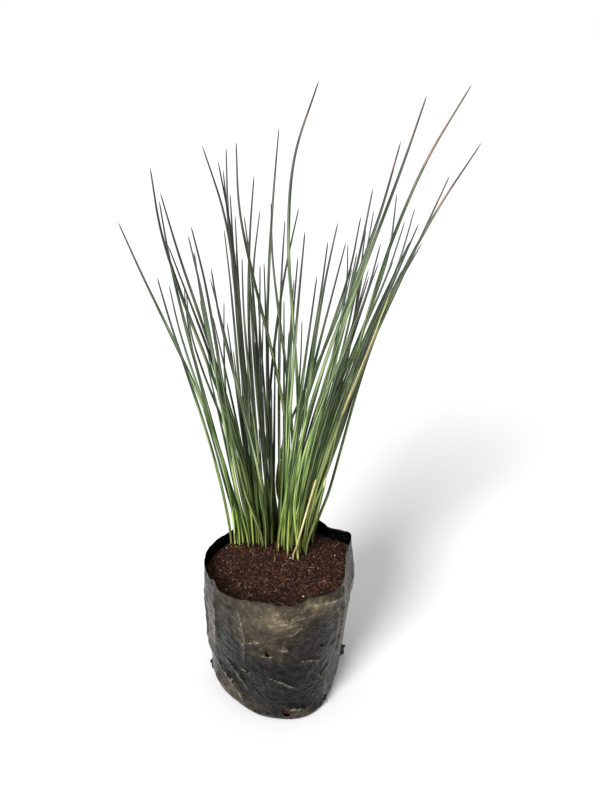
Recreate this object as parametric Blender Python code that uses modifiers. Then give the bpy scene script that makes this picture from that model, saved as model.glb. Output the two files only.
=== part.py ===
"""Potted hard rush: a tuft of thin upright stems planted in a black film grow bag of dark potting mix.

Units are metres, +Z is up, and the origin is the middle of the bag's flat underside.
The viewer stands in front, towards -Y.
"""

import math
from collections import namedtuple

import bmesh
import bpy
from mathutils import Vector

MM = 0.001

# Grow bag
SIDES = 48
FILM = 0.8 * MM
RIM_HEIGHT = 150.0 * MM
SHOULDER_HEIGHT = 122.0 * MM
LOW_HEIGHT = 45.0 * MM
BASE_HEIGHT = 6.0 * MM
TURNED_UNDER = 3.0 * MM
SIDE_LEVELS = (136, 122, 80, 45, 20, 12, 6, 2.5)

# Distance from the bag's axis to its film, in millimetres, every 15 degrees from +X towards +Y.
RIM_REACH = (65.6, 71, 86, 76.5, 79, 70, 68, 68, 71, 69, 72, 73,
             73, 70, 68, 67.5, 64.5, 63.5, 64, 64.5, 64.5, 71, 71.5, 68)
SHOULDER_REACH = (74, 80.5, 87, 78, 76, 70, 68, 67, 68, 69, 72, 74,
                  74, 71, 69, 67, 65, 64, 64.5, 65, 66, 71, 73, 71)
LOW_REACH = (66, 69, 72, 69, 67, 66, 66, 65, 65, 66, 69, 73,
             72, 69, 65, 61.5, 61, 63, 65, 66.5, 66, 65, 62, 63)
BASE_REACH = (62, 67, 71, 68, 66, 64, 64, 62, 62, 63, 66, 70,
              70, 65.5, 62, 59, 59, 61.5, 64, 65.5, 64, 63.5, 60.5, 59)
# How far the wavy rim stands above or below its nominal height, in millimetres, on the same bearings.
RIM_WAVE = (-1, 0, 1, 0, 1.5, 5, 6, 7, 7, 1, 0, 0, 0, -1, -2, -1.5, -2, 1, 0, -1, 0, 1, 0, -1)

# Ears at the two ends of the bottom seal: bearing in degrees, how far they stick out, half width in degrees
Ear = namedtuple("Ear", "bearing reach half_width")
EARS = (
    Ear(19.5, 13.0 * MM, 9.0),
    Ear(177.0, 6.0 * MM, 9.0),
)
EAR_HEIGHT = 20.0 * MM
EAR_FULL_HEIGHT = 11.0 * MM

# Holes in the film: bearing in degrees, height, diameter
Hole = namedtuple("Hole", "name bearing height diameter")
HOLES = (
    Hole("front_drain_hole", -82.0, 12.0 * MM, 9.0 * MM),
    Hole("right_drain_hole", -42.0, 10.0 * MM, 6.0 * MM),
    Hole("right_puncture", -51.0, 90.0 * MM, 2.6 * MM),
    Hole("front_tear", -98.0, 89.0 * MM, 4.0 * MM),
)
HOLE_SIDES = 10
HOLE_CUTTER_DEPTH = 2.6 * MM

# Potting mix
SOIL_CLEARANCE = 1.8 * MM
SOIL_FLOOR = 1.2 * MM
SOIL_FLOOR_TURN = 2.0 * MM
SOIL_LEVEL = 136.0 * MM
SOIL_TOP_RINGS = (0.9, 0.6, 0.3)
MOUND_HEIGHT = 8.0 * MM
MOUND_CENTRE = Vector((-8.0 * MM, 30.0 * MM))
MOUND_HALF_WIDTH = 42.0 * MM
MOUND_HALF_DEPTH = 32.0 * MM

# Tuft
STEM_SIDES_RESOLUTION = 1
STEM_SEGMENTS = 6
PLANTED_DEPTH = 20.0 * MM
COLLAR_HEIGHT = 1.5 * MM
POCKET_GAP = 0.3 * MM
POCKET_SIDES = 6
POCKET_CUTTER_RISE = 6.0 * MM
FOOT_SPACING = 4.7 * MM
STEM_WIDTH = 3.2 * MM
TALL_STEM_WIDTH = 3.3 * MM
SHORT_STEM_WIDTH = 2.9 * MM
DRY_STEM_WIDTH = 2.1 * MM
FOOT_SHARE = 0.8
TAPER_START = 0.55
TAPER_START_SHARE = 0.88
TIP_SHARE = 0.3

# The tuft grows in rows, numbered 0 at the front to 7 at the back, that fan apart as they rise.
BACK_ROW = 7.0
FRONT_ROW_LEAN = -0.22
BACK_ROW_LEAN = 0.24
TUFT_LEFT = -50.0 * MM
TUFT_FRONT_RIGHT = 22.0 * MM
TUFT_BACK_RIGHT = 30.0 * MM
FRONT_ROW_Y = 15.0 * MM
FRONT_ROW_SLOPE = 0.36
BACK_ROW_Y = 61.0 * MM
BACK_ROW_CURVE = 3.0
LEAN_LENGTH = 430.0 * MM

# Viewpoint of the photograph, from which the stems' outlines were read, in its 600 by 800 pixels
EYE = Vector((22.0 * MM, -600.0 * MM, 620.0 * MM))
EYE_TILT = math.radians(26.0)
FOCAL_PIXELS = 750.0
MIDDLE_ACROSS = 300.0
MIDDLE_DOWN = 400.0

# Each stem: where its foot shows across the photograph, its row in the tuft, its tip, and its bends,
# as pixels across and down.
Stem = namedtuple("Stem", "name foot row width tip bends")
TALL = TALL_STEM_WIDTH
MIDDLING = STEM_WIDTH
SHORT = SHORT_STEM_WIDTH
DRY = DRY_STEM_WIDTH
STEMS = (
    Stem("stem_01", 240, 1.3, MIDDLING, (118, 222), ((160, 312), (203, 405))),
    Stem("stem_02", 232, 0.0, MIDDLING, (157, 277), ((183, 361), (209, 440))),
    Stem("stem_03", 254, 1.4, TALL, (150, 167), ((171, 265), (211, 372))),
    Stem("stem_04", 258, 2.7, MIDDLING, (160, 192), ((184, 270), (212, 352))),
    Stem("stem_05", 249, 0.3, MIDDLING, (188, 235), ((203, 300), (219, 390))),
    Stem("stem_06", 263, 0.6, MIDDLING, (191, 226), ((206, 288), (221, 375))),
    Stem("stem_07", 250, 2.1, SHORT, (194, 251), ((204, 315), (220, 395))),
    Stem("stem_08", 266, 0.0, MIDDLING, (211, 268), ((223, 332), (239, 392))),
    Stem("stem_09", 268, 2.4, SHORT, (210, 278), ((219, 312), (238, 390))),
    Stem("stem_10", 245, 5.6, SHORT, (224, 301), ((224, 345), (228, 430))),
    Stem("stem_11", 254, 3.7, SHORT, (213, 317), ((224, 365), (240, 440))),
    Stem("stem_12", 247, 3.8, SHORT, (184, 289), ((188, 325), (204, 398))),
    Stem("stem_13", 251, 4.4, SHORT, (186, 291), ((193, 340), (217, 407))),
    Stem("stem_14", 236, 0.1, SHORT, (169, 285), ((183, 342), (204, 405))),
    Stem("stem_15", 243, 2.6, MIDDLING, (159, 200), ((177, 292), (205, 398))),
    Stem("stem_16", 262, 3.6, TALL, (202, 145), ((222, 206), (239, 320))),
    Stem("stem_17", 264, 4.1, MIDDLING, (218, 161), ((230, 225), (243, 360))),
    Stem("stem_18", 271, 5.3, MIDDLING, (223, 169), ((229, 230), (243, 360))),
    Stem("stem_19", 262, 6.9, TALL, (226, 147), ((228, 210), (240, 330))),
    Stem("stem_20", 279, 3.8, TALL, (236, 141), ((239, 205), (261, 308))),
    Stem("stem_21", 256, 5.2, SHORT, (224, 229), ((231, 290), (238, 370))),
    Stem("stem_22", 267, 1.0, SHORT, (242, 257), ((244, 315), (252, 400))),
    Stem("stem_23", 275, 6.6, MIDDLING, (244, 215), ((251, 270), (259, 380))),
    Stem("stem_24", 267, 4.6, MIDDLING, (254, 175), ((249, 262), (251, 380))),
    Stem("stem_25", 270, 7.4, MIDDLING, (260, 210), ((254, 262), (256, 380))),
    Stem("stem_26", 284, 5.4, MIDDLING, (271, 202), ((273, 262), (281, 330))),
    Stem("stem_27", 278, 7.0, TALL, (279, 127), ((271, 230), (267, 350))),
    Stem("stem_28", 280, 4.5, MIDDLING, (285, 219), ((281, 290), (279, 400))),
    Stem("stem_29", 266, 6.0, MIDDLING, (299, 207), ((283, 285), (270, 390))),
    Stem("stem_30", 279, 2.5, TALL, (319, 80), ((297, 145), (290, 280))),
    Stem("stem_31", 290, 5.0, SHORT, (294, 279), ((290, 340), (289, 430))),
    Stem("stem_32", 287, 3.0, MIDDLING, (298, 257), ((292, 330), (287, 430))),
    Stem("stem_33", 284, 0.9, MIDDLING, (305, 231), ((296, 330), (289, 430))),
    Stem("stem_34", 293, 6.6, SHORT, (302, 319), ((299, 385), (294, 450))),
    Stem("stem_35", 278, 0.0, MIDDLING, (317, 276), ((308, 340), (298, 410))),
    Stem("stem_36", 282, 2.0, MIDDLING, (328, 241), ((315, 330), (303, 400))),
    Stem("stem_37", 288, 1.7, MIDDLING, (338, 222), ((321, 305), (309, 385))),
    Stem("stem_38", 285, 4.4, MIDDLING, (346, 242), ((330, 303), (311, 378))),
    Stem("stem_39", 290, 6.2, SHORT, (348, 243), ((345, 293), (317, 364))),
    Stem("stem_40", 294, 3.35, MIDDLING, (361, 216), ((348, 277), (320, 360))),
    Stem("stem_41", 291, 1.5, TALL, (373, 188), ((357, 265), (331, 370))),
    Stem("stem_42", 288, 0.2, TALL, (401, 141), ((366, 253), (327, 357))),
    Stem("stem_43", 298, 0.7, TALL, (427, 95), ((383, 218), (340, 335))),
    Stem("stem_44", 307, 5.9, MIDDLING, (397, 193), ((390, 247), (366, 320))),
    Stem("stem_45", 303, 2.7, TALL, (472, 84), ((405, 208), (364, 328))),
    Stem("stem_46", 309, 4.8, TALL, (482, 142), ((420, 240), (378, 325))),
    Stem("stem_47", 312, 3.9, MIDDLING, (450, 175), ((415, 250), (380, 325))),
    Stem("stem_48", 311, 6.9, MIDDLING, (415, 208), ((399, 262), (369, 335))),
    Stem("stem_49", 301, 4.4, MIDDLING, (405, 221), ((387, 275), (362, 333))),
    Stem("stem_50", 308, 3.4, MIDDLING, (419, 223), ((403, 260), (371, 335))),
    Stem("stem_51", 314, 5.9, MIDDLING, (422, 243), ((392, 297), (358, 388))),
    Stem("stem_52", 297, 5.0, SHORT, (369, 268), ((357, 310), (338, 370))),
    Stem("stem_53", 298, 0.0, SHORT, (381, 243), ((368, 290), (340, 360))),
    Stem("dry_stem_01", 305, 1.8, DRY, (391, 289), ((373, 338), (350, 395))),
    Stem("dry_stem_02", 298, 2.4, DRY, (352, 328), ((338, 375), (322, 430))),
    Stem("dry_stub_01", 293, -0.5, DRY, (316, 479), ((304, 521),)),
)

# Root that hangs out of the right drain hole
ROOT_WIDTH = 1.2 * MM
ROOT_DROP = 7.0 * MM
ROOT_START = 1.3 * MM
ROOT_END = 5.5 * MM
ROOT_ELBOW_SHARE = 0.6

# Colours, linear
FILM_COLOUR = (0.020, 0.021, 0.019)
SOIL_COLOUR = (0.042, 0.016, 0.010)
STEM_COLOUR = (0.085, 0.155, 0.045)
DRY_COLOUR = (0.50, 0.36, 0.13)
ROOT_COLOUR = (0.16, 0.09, 0.05)


def clear_scene():
    for item in list(bpy.data.objects):
        bpy.data.objects.remove(item, do_unlink=True)


def new_collection(name):
    collection = bpy.data.collections.new(name)
    bpy.context.scene.collection.children.link(collection)
    return collection


def principled(name, colour, roughness):
    """A plain non-metallic Principled material."""
    material = bpy.data.materials.new(name)
    material.use_nodes = True
    shader = material.node_tree.nodes["Principled BSDF"]
    shader.inputs["Base Color"].default_value = (*colour, 1.0)
    shader.inputs["Roughness"].default_value = roughness
    shader.inputs["Metallic"].default_value = 0.0
    return material


def add_object(name, bm, collection, material=None):
    """A mesh object made from bm, with its faces pointing outwards."""
    bmesh.ops.recalc_face_normals(bm, faces=bm.faces)
    mesh = bpy.data.meshes.new(name)
    bm.to_mesh(mesh)
    bm.free()
    item = bpy.data.objects.new(name, mesh)
    collection.objects.link(item)
    if material:
        mesh.materials.append(material)
    return item


def blend_smoothly(before, start, end, after, share):
    """The Catmull-Rom curve from start to end."""
    square = share * share
    cube = square * share
    return 0.5 * (
        2.0 * start
        + (end - before) * share
        + (2.0 * before - 5.0 * start + 4.0 * end - after) * square
        + (3.0 * start - before - 3.0 * end + after) * cube
    )


def around(values, bearing):
    """A list of values spaced evenly around the bag, read smoothly at a bearing in degrees."""
    place = (bearing % 360.0) / 360.0 * len(values)
    first = int(place)
    near = [values[(first + step) % len(values)] for step in (-1, 0, 1, 2)]
    return blend_smoothly(*near, place - first)


def film_reach(bearing, height):
    """Distance from the axis to the outside of the film, without the ears."""
    levels = (
        (BASE_HEIGHT, BASE_REACH),
        (LOW_HEIGHT, LOW_REACH),
        (SHOULDER_HEIGHT, SHOULDER_REACH),
        (RIM_HEIGHT, RIM_REACH),
    )
    height = min(max(height, BASE_HEIGHT), RIM_HEIGHT)
    for (low, low_reach), (high, high_reach) in zip(levels, levels[1:]):
        if height <= high:
            share = (height - low) / (high - low)
            reach = around(low_reach, bearing) * (1.0 - share) + around(high_reach, bearing) * share
            return reach * MM
    return around(RIM_REACH, bearing) * MM


def ear_reach(bearing, height):
    """Extra reach where the ends of the bottom seal stick out."""
    fade = min(1.0, max(0.0, (EAR_HEIGHT - height) / (EAR_HEIGHT - EAR_FULL_HEIGHT)))
    extra = 0.0
    for ear in EARS:
        away = abs((bearing - ear.bearing + 180.0) % 360.0 - 180.0)
        extra = max(extra, ear.reach * fade * max(0.0, 1.0 - away / ear.half_width))
    return extra


def turn_under(height):
    """How far the film has turned in towards the flat underside."""
    share = max(0.0, 1.0 - height / BASE_HEIGHT)
    return TURNED_UNDER * share * share


def ring(reach_at, height_at):
    """The points of one closed ring around the axis."""
    points = []
    for side in range(SIDES):
        bearing = 360.0 * side / SIDES
        angle = math.radians(bearing)
        reach = reach_at(bearing)
        points.append((reach * math.cos(angle), reach * math.sin(angle), height_at(bearing)))
    return points


def loft(rings, close_top=False):
    """A skin through the rings from the top one down, closed by a flat face at the bottom."""
    bm = bmesh.new()
    made = [[bm.verts.new(point) for point in points] for points in rings]
    for upper, lower in zip(made, made[1:]):
        for side in range(SIDES):
            after = (side + 1) % SIDES
            bm.faces.new((upper[side], lower[side], lower[after], upper[after]))
    bm.faces.new(list(reversed(made[-1])))
    if close_top:
        peak = bm.verts.new(close_top)
        for side in range(SIDES):
            bm.faces.new((made[0][side], made[0][(side + 1) % SIDES], peak))
    return bm


def rim_height(bearing):
    return RIM_HEIGHT + around(RIM_WAVE, bearing) * MM


def make_bag(collection, cutters, material):
    """An open bag of film with a wavy rim, a flat underside and the holes cut through it."""

    def reach_at(level):
        return lambda bearing: film_reach(bearing, level) + ear_reach(bearing, level) - turn_under(level)

    rings = [ring(reach_at(RIM_HEIGHT), rim_height)]
    for level in SIDE_LEVELS:
        rings.append(ring(reach_at(level * MM), lambda bearing, level=level: level * MM))
    rings.append(ring(reach_at(0.0), lambda bearing: 0.0))
    bag = add_object("grow_bag", loft(rings), collection, material)
    shell = bag.modifiers.new("film", "SOLIDIFY")
    shell.thickness = FILM
    shell.offset = -1.0
    shell.use_even_offset = True
    for hole in HOLES:
        cutter = make_hole_cutter(hole, cutters)
        cut = bag.modifiers.new(hole.name, "BOOLEAN")
        cut.operation = "DIFFERENCE"
        cut.solver = "EXACT"
        cut.object = cutter
    return bag


def on_film(bearing, height, outwards=0.0):
    """A point on the film, or outwards from it."""
    angle = math.radians(bearing)
    reach = film_reach(bearing, height) - turn_under(height) + outwards
    return Vector((reach * math.cos(angle), reach * math.sin(angle), height))


def make_hole_cutter(hole, cutters):
    """A short cylinder through the film, pointing away from the axis."""
    bm = bmesh.new()
    bmesh.ops.create_cone(
        bm,
        cap_ends=True,
        segments=HOLE_SIDES,
        radius1=hole.diameter / 2.0,
        radius2=hole.diameter / 2.0,
        depth=HOLE_CUTTER_DEPTH,
    )
    cutter = add_object(hole.name + "_cutter", bm, cutters)
    cutter.location = on_film(hole.bearing, hole.height, -FILM / 2.0)
    cutter.rotation_euler = (0.0, math.radians(90.0), math.radians(hole.bearing))
    cutter.display_type = "WIRE"
    cutter.hide_render = True
    return cutter


def soil_height(x, y):
    """The top of the potting mix, mounded around the tuft."""
    across = (x - MOUND_CENTRE.x) / MOUND_HALF_WIDTH
    along = (y - MOUND_CENTRE.y) / MOUND_HALF_DEPTH
    return SOIL_LEVEL + MOUND_HEIGHT * math.exp(-(across * across + along * along))


def make_soil(collection, cutters, feet, material):
    """The potting mix, filling the bag to just under its rim, with a pocket for each stem."""

    def reach_at(level):
        return lambda bearing: film_reach(bearing, level) - turn_under(level) - SOIL_CLEARANCE

    def top_ring(share):
        points = ring(lambda bearing: reach_at(SOIL_LEVEL)(bearing) * share, lambda bearing: 0.0)
        return [(x, y, soil_height(x, y)) for x, y, _ in points]

    rings = [top_ring(share) for share in reversed(SOIL_TOP_RINGS)]
    rings.append(top_ring(1.0))
    for level in SIDE_LEVELS[1:-1]:
        rings.append(ring(reach_at(level * MM), lambda bearing, level=level: level * MM))
    rings.append(ring(reach_at(SOIL_FLOOR_TURN), lambda bearing: SOIL_FLOOR))
    soil = add_object("potting_mix", loft(rings, (0.0, 0.0, soil_height(0.0, 0.0))), collection, material)
    cut = soil.modifiers.new("stem_pockets", "BOOLEAN")
    cut.operation = "DIFFERENCE"
    cut.solver = "EXACT"
    cut.object = make_pocket_cutter(feet, cutters)
    return soil


def make_pocket_cutter(feet, cutters):
    """One upright prism at each foot, a little wider than the stem that stands in it."""
    bm = bmesh.new()
    for foot, width in feet:
        radius = (width * FOOT_SHARE / 2.0 + POCKET_GAP) / math.cos(math.pi / POCKET_SIDES)
        low = foot.z - PLANTED_DEPTH - POCKET_GAP
        high = foot.z + POCKET_CUTTER_RISE
        made = bmesh.ops.create_cone(
            bm, cap_ends=True, segments=POCKET_SIDES, radius1=radius, radius2=radius, depth=high - low
        )
        bmesh.ops.translate(bm, verts=made["verts"], vec=(foot.x, foot.y, (low + high) / 2.0))
    cutter = add_object("stem_pocket_cutter", bm, cutters)
    cutter.display_type = "WIRE"
    cutter.hide_render = True
    return cutter


def row_depth(x, height, row):
    """How far back a row of the tuft stands at a place across the bag and a height."""
    share = row / BACK_ROW
    front_x = min(max(x, TUFT_LEFT), TUFT_FRONT_RIGHT)
    back_x = min(max(x, TUFT_LEFT), TUFT_BACK_RIGHT)
    front = FRONT_ROW_Y + FRONT_ROW_SLOPE * (TUFT_FRONT_RIGHT - front_x)
    back = BACK_ROW_Y - BACK_ROW_CURVE * (TUFT_BACK_RIGHT - back_x) ** 2
    lean = FRONT_ROW_LEAN + (BACK_ROW_LEAN - FRONT_ROW_LEAN) * share
    risen = max(0.0, height - SOIL_LEVEL - MOUND_HEIGHT / 2.0)
    return front + share * (back - front) + lean * risen * (0.75 + 0.25 * risen / LEAN_LENGTH)


def forward_distance(y, height):
    """Distance from the eye along its line of view."""
    return (y - EYE.y) * math.cos(EYE_TILT) - (height - EYE.z) * math.sin(EYE_TILT)


def seen_down(y, height):
    """How far down the photograph a point shows."""
    up = (y - EYE.y) * math.sin(EYE_TILT) + (height - EYE.z) * math.cos(EYE_TILT)
    return MIDDLE_DOWN - FOCAL_PIXELS * up / forward_distance(y, height)


def at_depth(across, down, y):
    """The point that shows at a pixel of the photograph and stands at depth y."""
    steep = (MIDDLE_DOWN - down) / FOCAL_PIXELS
    sine = math.sin(EYE_TILT)
    cosine = math.cos(EYE_TILT)
    rise = (y - EYE.y) * (steep * cosine - sine) / (cosine + steep * sine)
    height = EYE.z + rise
    x = EYE.x + (across - MIDDLE_ACROSS) * forward_distance(y, height) / FOCAL_PIXELS
    return Vector((x, y, height))


def in_row(across, down, row):
    """The point of a row that shows at a pixel of the photograph."""
    point = at_depth(across, down, BACK_ROW_Y)
    for _ in range(30):
        y = (point.y + row_depth(point.x, point.z, row)) / 2.0
        point = at_depth(across, down, y)
    return point


def find_foot(stem):
    """Where a stem leaves the potting mix."""
    x = 0.0
    for _ in range(20):
        y = row_depth(x, 0.0, stem.row)
        height = soil_height(x, y)
        x = EYE.x + (stem.foot - MIDDLE_ACROSS) * forward_distance(y, height) / FOCAL_PIXELS
    return Vector((x, y, height))


def through(points, down):
    """The smooth curve through (across, down) points, read at a height down the photograph."""
    total = 0.0
    for index, (across, own_down) in enumerate(points):
        weight = across
        for other, (_, other_down) in enumerate(points):
            if other != index:
                weight *= (down - other_down) / (own_down - other_down)
        total += weight
    return total


def settle_feet(feet):
    """Moves feet that stand closer than a stem's width and its pocket allow."""
    places = [foot.copy() for foot in feet]
    for _ in range(60):
        for first in range(len(places)):
            for second in range(first):
                gap = places[first].xy - places[second].xy
                short = FOOT_SPACING - gap.length
                if short > 0.0:
                    push = gap.normalized() * short / 2.0
                    places[first].xy += push
                    places[second].xy -= push
    for place in places:
        place.z = soil_height(place.x, place.y)
    return places


def stem_points(stem, foot, settled):
    """The centre line of a stem, from its planted end to its tip."""
    foot_down = seen_down(foot.y, foot.z)
    known = [(stem.foot, foot_down), *stem.bends, stem.tip]
    moved = settled - foot
    points = [settled - Vector((0.0, 0.0, PLANTED_DEPTH)), settled + Vector((0.0, 0.0, COLLAR_HEIGHT))]
    for step in range(1, STEM_SEGMENTS + 1):
        down = foot_down + (stem.tip[1] - foot_down) * step / STEM_SEGMENTS
        point = in_row(through(known, down), down, stem.row)
        points.append(point + moved * (1.0 - step / STEM_SEGMENTS) ** 3)
    return points


def stem_share(height_share):
    """The width of a stem along its height, as a share of its full width."""
    if height_share < TAPER_START:
        return 1.0 - (1.0 - TAPER_START_SHARE) * height_share / TAPER_START
    tapered = (height_share - TAPER_START) / (1.0 - TAPER_START)
    return TAPER_START_SHARE - (TAPER_START_SHARE - TIP_SHARE) * tapered ** 2


def tube(name, points, width, shares, collection, material):
    """A round tapering tube along points, with filled ends."""
    curve = bpy.data.curves.new(name, "CURVE")
    curve.dimensions = "3D"
    curve.bevel_depth = width / 2.0
    curve.bevel_resolution = STEM_SIDES_RESOLUTION
    curve.use_fill_caps = True
    spline = curve.splines.new("POLY")
    spline.points.add(len(points) - 1)
    for target, point, share in zip(spline.points, points, shares):
        target.co = (*point, 1.0)
        target.radius = share
    curve.materials.append(material)
    item = bpy.data.objects.new(name, curve)
    collection.objects.link(item)
    return item


def make_stems(collection, feet, settled, green, dry):
    for stem, foot, place in zip(STEMS, feet, settled):
        points = stem_points(stem, foot, place)
        shares = [FOOT_SHARE, FOOT_SHARE]
        shares += [stem_share(step / STEM_SEGMENTS) for step in range(1, STEM_SEGMENTS + 1)]
        material = dry if stem.name.startswith("dry") else green
        tube(stem.name, points, stem.width, shares, collection, material)


def make_drain_root(collection, material):
    """A thin root that comes out of the right drain hole and hangs to the ground."""
    hole = next(item for item in HOLES if item.name == "right_drain_hole")
    start = on_film(hole.bearing, hole.height, -ROOT_START)
    elbow = on_film(hole.bearing, hole.height, ROOT_END * ROOT_ELBOW_SHARE)
    end = on_film(hole.bearing, hole.height, ROOT_END)
    end.z = hole.height - ROOT_DROP
    return tube("drain_root", [start, elbow, end], ROOT_WIDTH, [1.0, 0.9, 0.6], collection, material)


def build():
    clear_scene()
    parts = new_collection("potted_hard_rush")
    cutters = new_collection("cutters")
    film = principled("bag_film", FILM_COLOUR, 0.35)
    mix = principled("potting_mix", SOIL_COLOUR, 0.95)
    green = principled("green_stem", STEM_COLOUR, 0.45)
    dry = principled("dry_stem", DRY_COLOUR, 0.7)
    root = principled("root", ROOT_COLOUR, 0.8)
    feet = [find_foot(stem) for stem in STEMS]
    settled = settle_feet(feet)
    make_bag(parts, cutters, film)
    make_soil(parts, cutters, [(place, stem.width) for place, stem in zip(settled, STEMS)], mix)
    make_stems(parts, feet, settled, green, dry)
    make_drain_root(parts, root)


build()
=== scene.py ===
"""Potted hard rush: the finished look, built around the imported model.

Units are metres, +Z is up, and the origin is the middle of the bag's flat underside.
The viewer stands in front, towards -Y.
"""

import random
from collections import namedtuple
from math import cos, exp, pi, radians, sin, sqrt

import bmesh
import bpy
import numpy as np
from mathutils import Euler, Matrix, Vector, noise


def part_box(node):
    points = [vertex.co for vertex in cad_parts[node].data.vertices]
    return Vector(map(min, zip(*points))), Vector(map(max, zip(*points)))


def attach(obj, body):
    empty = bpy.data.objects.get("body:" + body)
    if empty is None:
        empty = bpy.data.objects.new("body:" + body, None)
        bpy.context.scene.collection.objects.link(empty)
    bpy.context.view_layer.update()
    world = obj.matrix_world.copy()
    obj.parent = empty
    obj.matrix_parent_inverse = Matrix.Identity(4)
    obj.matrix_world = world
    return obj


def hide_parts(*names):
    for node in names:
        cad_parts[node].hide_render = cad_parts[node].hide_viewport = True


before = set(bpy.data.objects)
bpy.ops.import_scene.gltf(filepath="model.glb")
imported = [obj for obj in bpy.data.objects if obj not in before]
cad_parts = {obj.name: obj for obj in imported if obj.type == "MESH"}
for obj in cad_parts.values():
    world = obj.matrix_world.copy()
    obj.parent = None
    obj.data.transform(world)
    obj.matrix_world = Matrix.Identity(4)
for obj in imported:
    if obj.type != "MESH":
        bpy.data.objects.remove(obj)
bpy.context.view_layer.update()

MM = 0.001

# Viewpoint of the photograph, in its 600 by 800 pixels
EYE = Vector((22.0 * MM, -600.0 * MM, 620.0 * MM))
EYE_TILT = radians(26.0)
FOCAL_PIXELS = 750.0
MIDDLE_ACROSS = 300.0
MIDDLE_DOWN = 400.0
SENSOR = 36.0
LENS = SENSOR * FOCAL_PIXELS / (2.0 * MIDDLE_DOWN)

# Light: a wide soft sun from the front left, under a pale sky
SUN_BEARING = radians(-122.0)
SUN_HEIGHT = radians(31.0)
SUN_SPREAD = radians(25.0)
SUN_STRENGTH = 3.8
SKY_STRENGTH = 0.56
FLOOR_SIZE = 60.0

# Film of the grow bag
FILM = 0.3 * MM
BAG_SIDES = 48
FILM_COLUMNS = 400
FILM_ROWS = 120
UNDERSIDE_RINGS = 5
FILM_TURN = 5.0 * MM
FACET_SIZE = 24.0 * MM
FACET_DEPTH = 1.5 * MM
CRINKLE_SIZE = 8.0 * MM
CRINKLE_DEPTH = 1.0 * MM
LUMP_SIZE = 4.5 * MM
LUMP_DEPTH = 0.35 * MM
EAR_HEIGHT = 20.0 * MM
EAR_FULL_HEIGHT = 12.0 * MM
EAR_HALF_WIDTH = 1.7
BAG_RADIUS = 66.0

# Flaps at the two ends of the bottom seal: bearing in degrees and how far they stick out
Ear = namedtuple("Ear", "bearing reach")
EARS = (Ear(20.0, 8.0 * MM), Ear(177.0, 5.0 * MM))

# Folds: bearing in degrees and height in mm of both ends, half width in mm, and rise
FOLD_HEIGHT = 1.5 * MM
Fold = namedtuple("Fold", "bearing height to_bearing to_height half_width rise")
FOLDS = [Fold(*row) for row in (
    (-92, 126, -57, 131, 1.5, 1.7), (-92, 119, -61, 128, 1.3, 1.9),
    (-80, 111.5, -64, 121, 1.2, 1.4), (-66, 141.5, -22, 136, 3.6, 1.5),
    (-33, 144, -28, 40, 2.6, 1.7), (-41, 139, -35, 66, 2, 1.2),
    (-88, 96, -77, 93, 1.4, 1.6), (-124, 93, -103, 102, 1.2, 1.1),
    (-105, 85, -92, 87.5, 1.3, 1.5), (-124, 138, -121, 72, 1.4, 1),
    (-152, 140, -160, 60, 2.8, 1.4), (-160, 44, -122, 10, 2.2, 1.4),
    (-146, 60, -118, 30, 1.8, 1), (-84, 18, -60, 11, 2, 1.6),
    (-60, 60, -40, 22, 1.8, 1.1), (-100, 60, -74, 44, 1.6, 0.8),
    (-126, 58, -114, 57, 1, 0.8), (-70, 78, -52, 70, 1.4, 0.8),
    (10, 120, 24, 24, 2.6, 1.6), (52, 138, 70, 70, 2.4, 1.4),
    (100, 132, 78, 60, 2.2, 1.4), (128, 120, 150, 40, 2.4, 1.5),
    (176, 118, 172, 24, 2.6, 1.6), (60, 52, 118, 34, 2, 1.1),
    (40, 96, 62, 90, 1.5, 1), (132, 80, 100, 72, 1.5, 1),
)]

# A soft-edged place on the film: bearing in degrees, height, spread around and spread up in mm, and amount
Place = namedtuple("Place", "bearing height around up amount")
# Where the loose film stands out, in mm
BULGES = [Place(*row) for row in (
    (184, 112, 12, 8, 1.5), (187, 52, 12, 9, 2.4),
    (202, 16, 18, 9, 2.6), (228, 8, 18, 8, 1.8),
    (247, 3, 16, 6, 1.6), (-60, 3, 16, 6, 3.4),
    (4, 143, 16, 10, 1.5), (-90, 128, 22, 9, 2),
    (-120, 66, 18, 14, 1.2), (-48, 58, 14, 12, -1.2),
)]
# Dust and painted sheen, thick at 1, and below 0 a clean film without haze and pale lines. The rows high on
# the front partly paint a sheen on the film, and the rows below 0 partly paint shade on its left and lower
# parts
DUST_AND_SHEEN = [Place(*row) for row in (
    (-95, 131, 12, 7, 0.65), (-84, 141, 38, 7, 0.5),
    (-76, 134, 16, 8, 0.45), (-86, 122, 20, 10, 0.4),
    (-104, 100, 22, 12, 0.25), (-98, 86, 14, 6, 0.3),
    (-144, 20, 24, 14, 0.4), (-118, 12, 18, 10, 0.3),
    (-70, 7, 12, 5, 0.7), (-58, 138, 18, 6, 0.5),
    (-22, 104, 8, 40, 1.1), (-120, 124, 14, 16, 0.25),
    (-160, 90, 9, 40, 0.3), (60, 26, 40, 16, 0.4),
    (140, 22, 40, 14, 0.4), (-72, 141, 20, 8, 0.85),
    (-168, 136, 13, 22, -0.5), (-122, 46, 34, 24, -0.35),
    (-70, 50, 30, 24, -0.45), (-139, 84, 18, 22, -0.4),
)]

# Where the torn edge of the rim rises or dips: bearing and half width in degrees, and how far in mm
Peak = namedtuple("Peak", "bearing half_width rise")
PEAKS = [Peak(*row) for row in (
    (-152, 3.5, 3.6),
    (-143, 4.5, -1.8),
    (-118, 2.5, 1.2),
    (-78, 3, -1.2),
    (-62, 2.5, 1.6),
    (-27, 3.5, 3),
    (-38, 6, -1.6),
)]

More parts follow.
